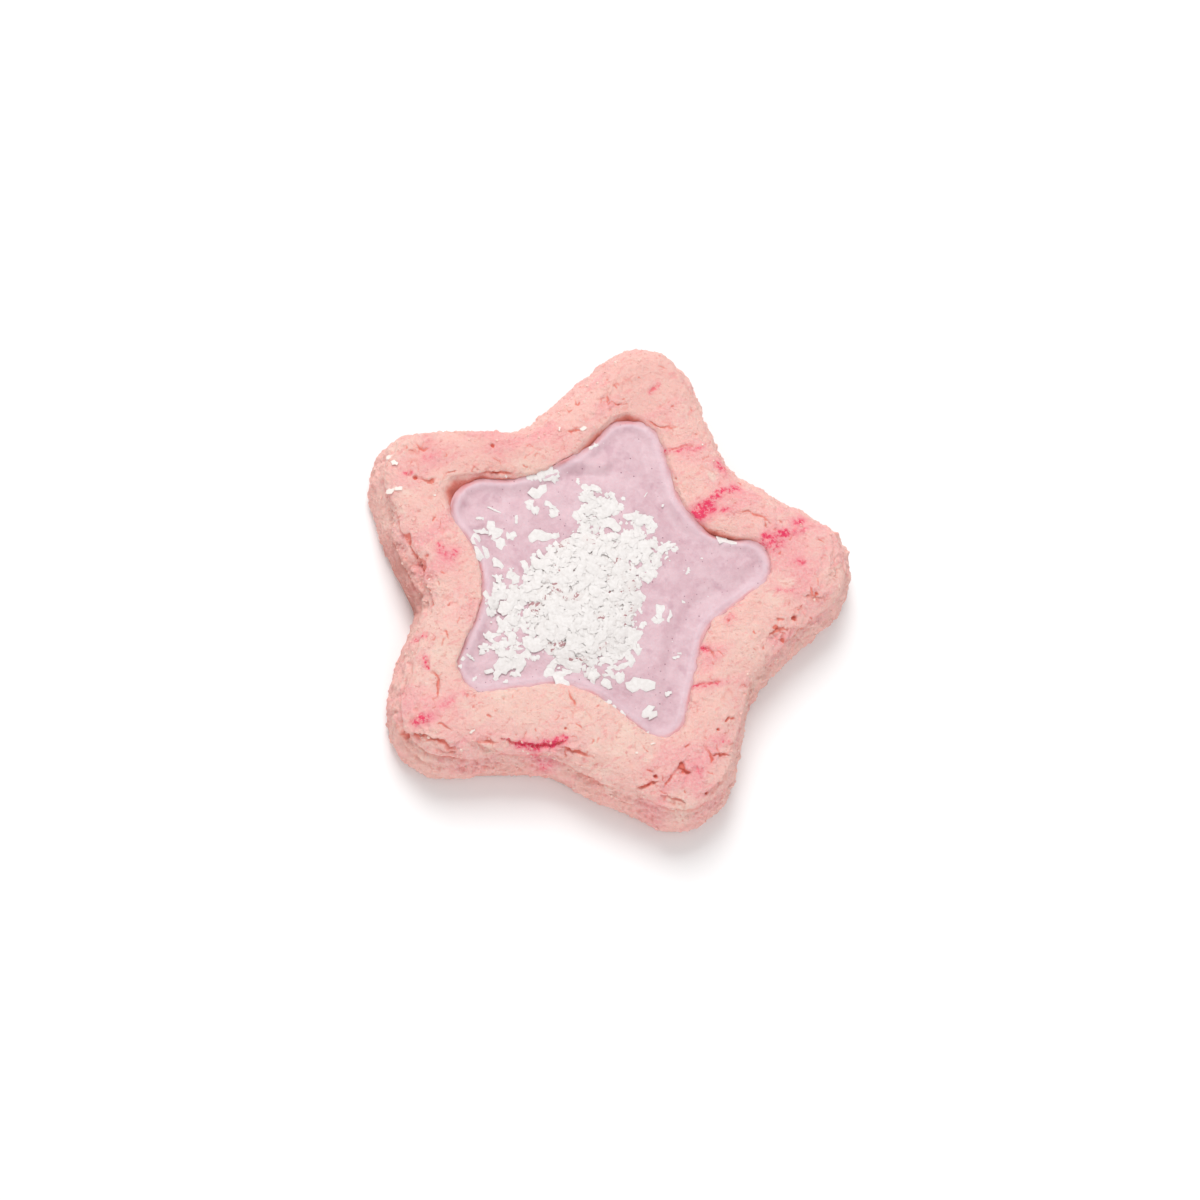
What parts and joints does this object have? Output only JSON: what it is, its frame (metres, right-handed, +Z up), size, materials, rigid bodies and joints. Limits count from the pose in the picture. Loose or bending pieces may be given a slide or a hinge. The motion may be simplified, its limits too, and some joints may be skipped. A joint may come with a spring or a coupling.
{
  "type": "glazed dog biscuit",
  "caption": "Thick five-armed star biscuit of pink dough with a star-shaped pocket of mauve glaze and a heap of coconut flakes.",
  "frame": {"origin": "centre of the star on its flat underside", "axes": "+Z up through the glaze, away from the underside; +Y along the straightest arm; +X to the right of that arm seen from above"},
  "size_m": [0.0785, 0.0758, 0.0126],
  "materials": {
    "dough": "matte baked dough",
    "glaze": "satin set glaze",
    "coconut": "matte dried coconut"
  },
  "bodies": {
    "root": {"biscuit": "dough", "glaze": "glaze"}
  },
  "joints": []
}
